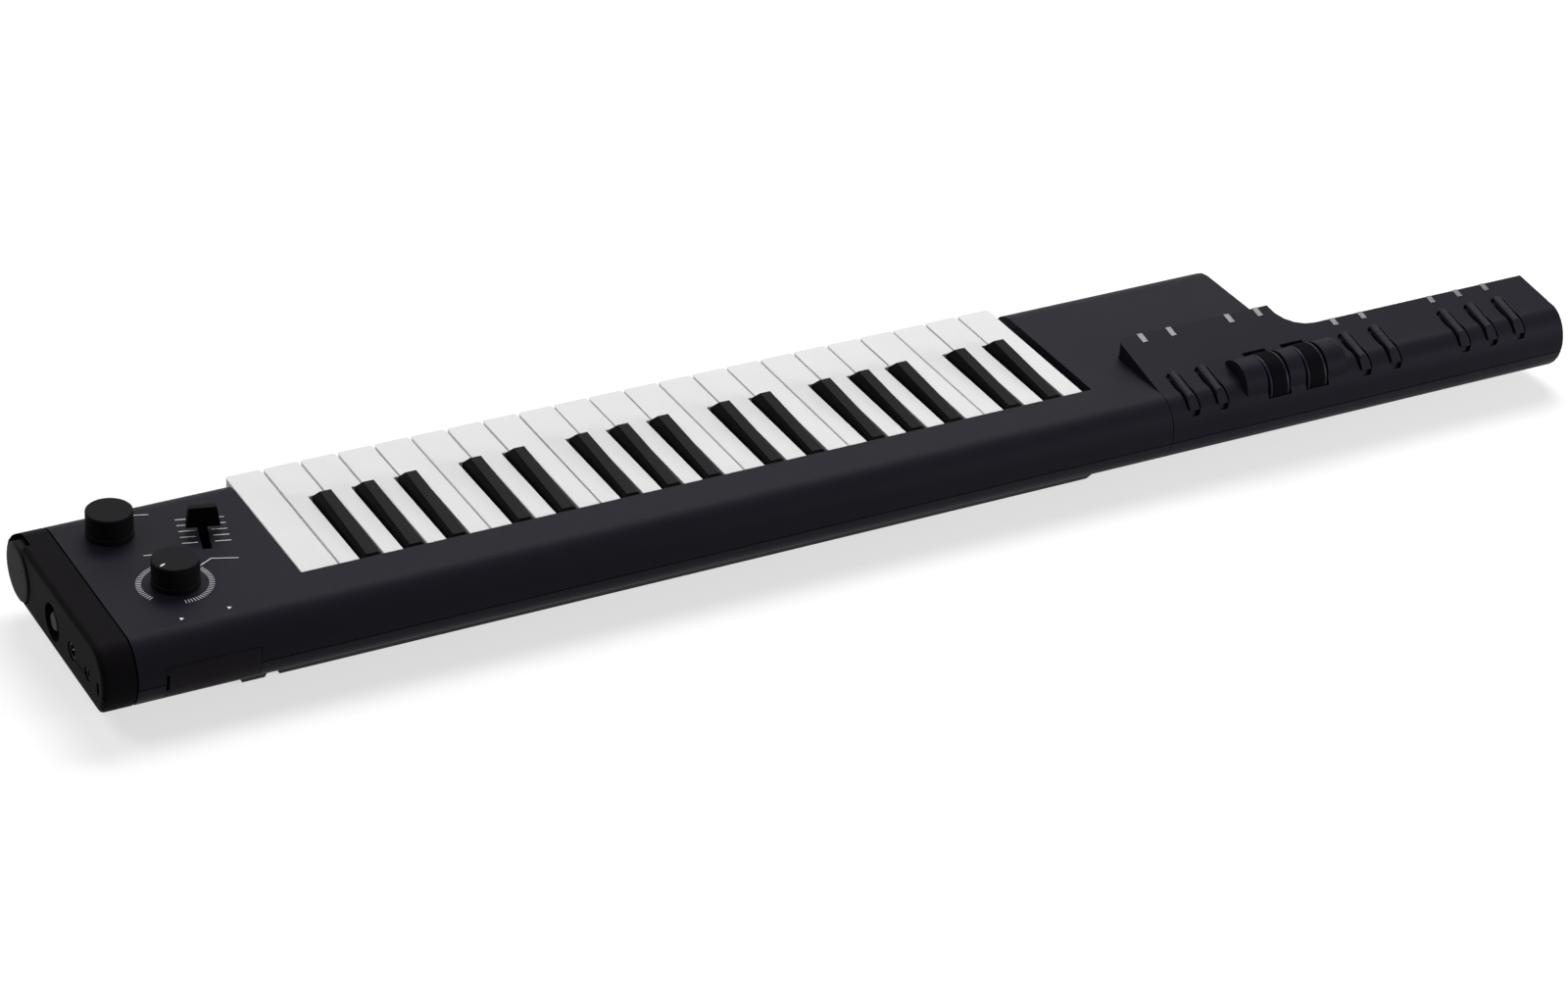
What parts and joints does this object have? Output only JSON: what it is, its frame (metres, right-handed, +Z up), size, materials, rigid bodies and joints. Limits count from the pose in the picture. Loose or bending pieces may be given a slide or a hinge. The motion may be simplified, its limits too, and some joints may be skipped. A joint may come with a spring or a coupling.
{
  "type": "keytar",
  "caption": "Slim strap-on keyboard with sprung mini keys, a control neck with buttons and two finger wheels, panel knobs, a lever, an end dial, a terminal flap and a battery door.",
  "frame": {"origin": "centre of the bounding box in plan, on the plane of the underside tray that the instrument lies on", "axes": "+X along the body from the end cap toward the neck, +Y from the near bullnose toward the key tips, +Z up out of the keys"},
  "size_m": [0.882, 0.1396, 0.062],
  "materials": {
    "body": "satin blue-black moulded plastic with a fine grain",
    "cap": "matte black moulded plastic",
    "white_key": "satin white plastic",
    "black_key": "glossy black plastic",
    "button": "satin blue-black plastic",
    "knob": "matte black plastic with fine flutes",
    "wheel": "soft ribbed band between harder rims",
    "lens": "clear frosted light guide",
    "frame": "grey moulded frame",
    "board": "printed board with moulded sockets"
  },
  "bodies": {
    "body": {"upper_case": "body", "lower_case": "body", "end_cap": "cap", "neck_upper": "body", "neck_lower": "body", "key_frame": "frame", "status_lenses": "lens", "connector_board": "board"},
    "flap": {"terminal_flap": "cap"},
    "door": {"battery_door": "body"},
    "dial": {"volume_dial": "knob"},
    "select": {"select_knob": "knob"},
    "effect": {"effect_knob": "knob"},
    "lever": {"effect_lever": "knob"},
    "wheel_1": {"finger_wheel_1": "wheel"},
    "wheel_2": {"finger_wheel_2": "wheel"},
    "button_1": {"neck_button_1": "button"},
    "button_2": {"neck_button_2": "button"},
    "button_3": {"neck_button_3": "button"},
    "button_4": {"neck_button_4": "button"},
    "button_5": {"neck_button_5": "button"},
    "button_6": {"neck_button_6": "button"},
    "button_7": {"neck_button_7": "button"},
    "white_c6": {"white_key_c6": "white_key"},
    "white_b5": {"white_key_b5": "white_key"},
    "black_a_sharp5": {"black_key_a_sharp5": "black_key"},
    "white_a5": {"white_key_a5": "white_key"},
    "black_g_sharp5": {"black_key_g_sharp5": "black_key"},
    "white_g5": {"white_key_g5": "white_key"},
    "black_f_sharp5": {"black_key_f_sharp5": "black_key"},
    "white_f5": {"white_key_f5": "white_key"},
    "white_e5": {"white_key_e5": "white_key"},
    "black_d_sharp5": {"black_key_d_sharp5": "black_key"},
    "white_d5": {"white_key_d5": "white_key"},
    "black_c_sharp5": {"black_key_c_sharp5": "black_key"},
    "white_c5": {"white_key_c5": "white_key"},
    "white_b4": {"white_key_b4": "white_key"},
    "black_a_sharp4": {"black_key_a_sharp4": "black_key"},
    "white_a4": {"white_key_a4": "white_key"},
    "black_g_sharp4": {"black_key_g_sharp4": "black_key"},
    "white_g4": {"white_key_g4": "white_key"},
    "black_f_sharp4": {"black_key_f_sharp4": "black_key"},
    "white_f4": {"white_key_f4": "white_key"},
    "white_e4": {"white_key_e4": "white_key"},
    "black_d_sharp4": {"black_key_d_sharp4": "black_key"},
    "white_d4": {"white_key_d4": "white_key"},
    "black_c_sharp4": {"black_key_c_sharp4": "black_key"},
    "white_c4": {"white_key_c4": "white_key"},
    "white_b3": {"white_key_b3": "white_key"},
    "black_a_sharp3": {"black_key_a_sharp3": "black_key"},
    "white_a3": {"white_key_a3": "white_key"},
    "black_g_sharp3": {"black_key_g_sharp3": "black_key"},
    "white_g3": {"white_key_g3": "white_key"},
    "black_f_sharp3": {"black_key_f_sharp3": "black_key"},
    "white_f3": {"white_key_f3": "white_key"},
    "white_e3": {"white_key_e3": "white_key"},
    "black_d_sharp3": {"black_key_d_sharp3": "black_key"},
    "white_d3": {"white_key_d3": "white_key"},
    "black_c_sharp3": {"black_key_c_sharp3": "black_key"},
    "white_c3": {"white_key_c3": "white_key"}
  },
  "joints": [
    {"name": "flap_hinge", "type": "hinge", "parent": "body", "child": "flap", "pos_m": [-0.38225, -0.0685, 0.0325], "axis": [-1, 0, 0], "range_deg": [0, 85]},
    {"name": "door_hinge", "type": "hinge", "parent": "body", "child": "door", "pos_m": [-0.119, 0.02775, 0.0016], "axis": [1, 0, 0], "range_deg": [0, 90]},
    {"name": "dial_turn", "type": "hinge", "parent": "body", "child": "dial", "pos_m": [-0.438, 0.05035, 0.0291], "axis": [-1, 0, 0], "range_deg": [-200, 80]},
    {"name": "select_turn", "type": "hinge", "parent": "body", "child": "select", "pos_m": [-0.3953, 0.03785, 0.0545], "axis": [0, 0, 1], "continuous": true},
    {"name": "effect_turn", "type": "hinge", "parent": "body", "child": "effect", "pos_m": [-0.382, -0.01845, 0.0545], "axis": [0, 0, 1], "range_deg": [-256, 44]},
    {"name": "lever_turn", "type": "hinge", "parent": "body", "child": "lever", "pos_m": [-0.3511, 0.02285, 0.0233], "axis": [0.9681, -0.2504, 0], "range_deg": [-20, 20]},
    {"name": "wheel_1_turn", "type": "hinge", "parent": "body", "child": "wheel_1", "pos_m": [0.2468, -0.05185, 0.0391], "axis": [1, 0, 0], "range_deg": [-40, 40], "stiffness_Nm_per_rad": 0.02},
    {"name": "wheel_2_turn", "type": "hinge", "parent": "body", "child": "wheel_2", "pos_m": [0.2718, -0.05185, 0.0391], "axis": [1, 0, 0], "range_deg": [-40, 40]},
    {"name": "button_1_travel", "type": "slide", "parent": "body", "child": "button_1", "axis": [0, 0.2232, -0.9748], "range_m": [0, 0.0015], "stiffness_N_per_m": 200, "springref_m": -0.0015},
    {"name": "button_2_travel", "type": "slide", "parent": "body", "child": "button_2", "axis": [0, 0.2232, -0.9748], "range_m": [0, 0.0015], "stiffness_N_per_m": 200, "springref_m": -0.0015},
    {"name": "button_3_travel", "type": "slide", "parent": "body", "child": "button_3", "axis": [0, 0.2232, -0.9748], "range_m": [0, 0.0015], "stiffness_N_per_m": 200, "springref_m": -0.0015},
    {"name": "button_4_travel", "type": "slide", "parent": "body", "child": "button_4", "axis": [0, 0.2232, -0.9748], "range_m": [0, 0.0015], "stiffness_N_per_m": 200, "springref_m": -0.0015},
    {"name": "button_5_travel", "type": "slide", "parent": "body", "child": "button_5", "axis": [0, 0.2232, -0.9748], "range_m": [0, 0.0015], "stiffness_N_per_m": 200, "springref_m": -0.0015},
    {"name": "button_6_travel", "type": "slide", "parent": "body", "child": "button_6", "axis": [0, 0.2232, -0.9748], "range_m": [0, 0.0015], "stiffness_N_per_m": 200, "springref_m": -0.0015},
    {"name": "button_7_travel", "type": "slide", "parent": "body", "child": "button_7", "axis": [0, 0.2232, -0.9748], "range_m": [0, 0.0015], "stiffness_N_per_m": 200, "springref_m": -0.0015},
    {"name": "white_c6_press", "type": "hinge", "parent": "body", "child": "white_c6", "pos_m": [-0.31093, -0.05065, 0.0365], "axis": [-1, 0, 0], "range_deg": [0, 3], "stiffness_Nm_per_rad": 0.76, "springref_deg": -1.49},
    {"name": "white_b5_press", "type": "hinge", "parent": "body", "child": "white_b5", "pos_m": [-0.28999, -0.05065, 0.0365], "axis": [-1, 0, 0], "range_deg": [0, 3], "stiffness_Nm_per_rad": 0.76, "springref_deg": -1.49},
    {"name": "black_a_sharp5_press", "type": "hinge", "parent": "body", "child": "black_a_sharp5", "pos_m": [-0.28252, -0.05065, 0.0365], "axis": [-1, 0, 0], "range_deg": [0, 3], "stiffness_Nm_per_rad": 0.76, "springref_deg": -1.49},
    {"name": "white_a5_press", "type": "hinge", "parent": "body", "child": "white_a5", "pos_m": [-0.26905, -0.05065, 0.0365], "axis": [-1, 0, 0], "range_deg": [0, 3], "stiffness_Nm_per_rad": 0.76, "springref_deg": -1.49},
    {"name": "black_g_sharp5_press", "type": "hinge", "parent": "body", "child": "black_g_sharp5", "pos_m": [-0.25858, -0.05065, 0.0365], "axis": [-1, 0, 0], "range_deg": [0, 3], "stiffness_Nm_per_rad": 0.76, "springref_deg": -1.49},
    {"name": "white_g5_press", "type": "hinge", "parent": "body", "child": "white_g5", "pos_m": [-0.24811, -0.05065, 0.0365], "axis": [-1, 0, 0], "range_deg": [0, 3], "stiffness_Nm_per_rad": 0.76, "springref_deg": -1.49},
    {"name": "black_f_sharp5_press", "type": "hinge", "parent": "body", "child": "black_f_sharp5", "pos_m": [-0.23464, -0.05065, 0.0365], "axis": [-1, 0, 0], "range_deg": [0, 3], "stiffness_Nm_per_rad": 0.76, "springref_deg": -1.49},
    {"name": "white_f5_press", "type": "hinge", "parent": "body", "child": "white_f5", "pos_m": [-0.22717, -0.05065, 0.0365], "axis": [-1, 0, 0], "range_deg": [0, 3], "stiffness_Nm_per_rad": 0.76, "springref_deg": -1.49},
    {"name": "white_e5_press", "type": "hinge", "parent": "body", "child": "white_e5", "pos_m": [-0.20623, -0.05065, 0.0365], "axis": [-1, 0, 0], "range_deg": [0, 3], "stiffness_Nm_per_rad": 0.76, "springref_deg": -1.49},
    {"name": "black_d_sharp5_press", "type": "hinge", "parent": "body", "child": "black_d_sharp5", "pos_m": [-0.19776, -0.05065, 0.0365], "axis": [-1, 0, 0], "range_deg": [0, 3], "stiffness_Nm_per_rad": 0.76, "springref_deg": -1.49},
    {"name": "white_d5_press", "type": "hinge", "parent": "body", "child": "white_d5", "pos_m": [-0.18529, -0.05065, 0.0365], "axis": [-1, 0, 0], "range_deg": [0, 3], "stiffness_Nm_per_rad": 0.76, "springref_deg": -1.49},
    {"name": "black_c_sharp5_press", "type": "hinge", "parent": "body", "child": "black_c_sharp5", "pos_m": [-0.17282, -0.05065, 0.0365], "axis": [-1, 0, 0], "range_deg": [0, 3], "stiffness_Nm_per_rad": 0.76, "springref_deg": -1.49},
    {"name": "white_c5_press", "type": "hinge", "parent": "body", "child": "white_c5", "pos_m": [-0.16435, -0.05065, 0.0365], "axis": [-1, 0, 0], "range_deg": [0, 3], "stiffness_Nm_per_rad": 0.76, "springref_deg": -1.49},
    {"name": "white_b4_press", "type": "hinge", "parent": "body", "child": "white_b4", "pos_m": [-0.14341, -0.05065, 0.0365], "axis": [-1, 0, 0], "range_deg": [0, 3], "stiffness_Nm_per_rad": 0.76, "springref_deg": -1.49},
    {"name": "black_a_sharp4_press", "type": "hinge", "parent": "body", "child": "black_a_sharp4", "pos_m": [-0.13594, -0.05065, 0.0365], "axis": [-1, 0, 0], "range_deg": [0, 3], "stiffness_Nm_per_rad": 0.76, "springref_deg": -1.49},
    {"name": "white_a4_press", "type": "hinge", "parent": "body", "child": "white_a4", "pos_m": [-0.12247, -0.05065, 0.0365], "axis": [-1, 0, 0], "range_deg": [0, 3], "stiffness_Nm_per_rad": 0.76, "springref_deg": -1.49},
    {"name": "black_g_sharp4_press", "type": "hinge", "parent": "body", "child": "black_g_sharp4", "pos_m": [-0.112, -0.05065, 0.0365], "axis": [-1, 0, 0], "range_deg": [0, 3], "stiffness_Nm_per_rad": 0.76, "springref_deg": -1.49},
    {"name": "white_g4_press", "type": "hinge", "parent": "body", "child": "white_g4", "pos_m": [-0.10153, -0.05065, 0.0365], "axis": [-1, 0, 0], "range_deg": [0, 3], "stiffness_Nm_per_rad": 0.76, "springref_deg": -1.49},
    {"name": "black_f_sharp4_press", "type": "hinge", "parent": "body", "child": "black_f_sharp4", "pos_m": [-0.08806, -0.05065, 0.0365], "axis": [-1, 0, 0], "range_deg": [0, 3], "stiffness_Nm_per_rad": 0.76, "springref_deg": -1.49},
    {"name": "white_f4_press", "type": "hinge", "parent": "body", "child": "white_f4", "pos_m": [-0.08059, -0.05065, 0.0365], "axis": [-1, 0, 0], "range_deg": [0, 3], "stiffness_Nm_per_rad": 0.76, "springref_deg": -1.49},
    {"name": "white_e4_press", "type": "hinge", "parent": "body", "child": "white_e4", "pos_m": [-0.05965, -0.05065, 0.0365], "axis": [-1, 0, 0], "range_deg": [0, 3], "stiffness_Nm_per_rad": 0.76, "springref_deg": -1.49},
    {"name": "black_d_sharp4_press", "type": "hinge", "parent": "body", "child": "black_d_sharp4", "pos_m": [-0.05118, -0.05065, 0.0365], "axis": [-1, 0, 0], "range_deg": [0, 3], "stiffness_Nm_per_rad": 0.76, "springref_deg": -1.49},
    {"name": "white_d4_press", "type": "hinge", "parent": "body", "child": "white_d4", "pos_m": [-0.03871, -0.05065, 0.0365], "axis": [-1, 0, 0], "range_deg": [0, 3], "stiffness_Nm_per_rad": 0.76, "springref_deg": -1.49},
    {"name": "black_c_sharp4_press", "type": "hinge", "parent": "body", "child": "black_c_sharp4", "pos_m": [-0.02624, -0.05065, 0.0365], "axis": [-1, 0, 0], "range_deg": [0, 3], "stiffness_Nm_per_rad": 0.76, "springref_deg": -1.49},
    {"name": "white_c4_press", "type": "hinge", "parent": "body", "child": "white_c4", "pos_m": [-0.01777, -0.05065, 0.0365], "axis": [-1, 0, 0], "range_deg": [0, 3], "stiffness_Nm_per_rad": 0.76, "springref_deg": -1.49},
    {"name": "white_b3_press", "type": "hinge", "parent": "body", "child": "white_b3", "pos_m": [0.00317, -0.05065, 0.0365], "axis": [-1, 0, 0], "range_deg": [0, 3], "stiffness_Nm_per_rad": 0.76, "springref_deg": -1.49},
    {"name": "black_a_sharp3_press", "type": "hinge", "parent": "body", "child": "black_a_sharp3", "pos_m": [0.01064, -0.05065, 0.0365], "axis": [-1, 0, 0], "range_deg": [0, 3], "stiffness_Nm_per_rad": 0.76, "springref_deg": -1.49},
    {"name": "white_a3_press", "type": "hinge", "parent": "body", "child": "white_a3", "pos_m": [0.02411, -0.05065, 0.0365], "axis": [-1, 0, 0], "range_deg": [0, 3], "stiffness_Nm_per_rad": 0.76, "springref_deg": -1.49},
    {"name": "black_g_sharp3_press", "type": "hinge", "parent": "body", "child": "black_g_sharp3", "pos_m": [0.03458, -0.05065, 0.0365], "axis": [-1, 0, 0], "range_deg": [0, 3], "stiffness_Nm_per_rad": 0.76, "springref_deg": -1.49},
    {"name": "white_g3_press", "type": "hinge", "parent": "body", "child": "white_g3", "pos_m": [0.04505, -0.05065, 0.0365], "axis": [-1, 0, 0], "range_deg": [0, 3], "stiffness_Nm_per_rad": 0.76, "springref_deg": -1.49},
    {"name": "black_f_sharp3_press", "type": "hinge", "parent": "body", "child": "black_f_sharp3", "pos_m": [0.05852, -0.05065, 0.0365], "axis": [-1, 0, 0], "range_deg": [0, 3], "stiffness_Nm_per_rad": 0.76, "springref_deg": -1.49},
    {"name": "white_f3_press", "type": "hinge", "parent": "body", "child": "white_f3", "pos_m": [0.06599, -0.05065, 0.0365], "axis": [-1, 0, 0], "range_deg": [0, 3], "stiffness_Nm_per_rad": 0.76, "springref_deg": -1.49},
    {"name": "white_e3_press", "type": "hinge", "parent": "body", "child": "white_e3", "pos_m": [0.08693, -0.05065, 0.0365], "axis": [-1, 0, 0], "range_deg": [0, 3], "stiffness_Nm_per_rad": 0.76, "springref_deg": -1.49},
    {"name": "black_d_sharp3_press", "type": "hinge", "parent": "body", "child": "black_d_sharp3", "pos_m": [0.0954, -0.05065, 0.0365], "axis": [-1, 0, 0], "range_deg": [0, 3], "stiffness_Nm_per_rad": 0.76, "springref_deg": -1.49},
    {"name": "white_d3_press", "type": "hinge", "parent": "body", "child": "white_d3", "pos_m": [0.10787, -0.05065, 0.0365], "axis": [-1, 0, 0], "range_deg": [0, 3], "stiffness_Nm_per_rad": 0.76, "springref_deg": -1.49},
    {"name": "black_c_sharp3_press", "type": "hinge", "parent": "body", "child": "black_c_sharp3", "pos_m": [0.12034, -0.05065, 0.0365], "axis": [-1, 0, 0], "range_deg": [0, 3], "stiffness_Nm_per_rad": 0.76, "springref_deg": -1.49},
    {"name": "white_c3_press", "type": "hinge", "parent": "body", "child": "white_c3", "pos_m": [0.12881, -0.05065, 0.0365], "axis": [-1, 0, 0], "range_deg": [0, 3], "stiffness_Nm_per_rad": 0.76, "springref_deg": -1.49}
  ]
}
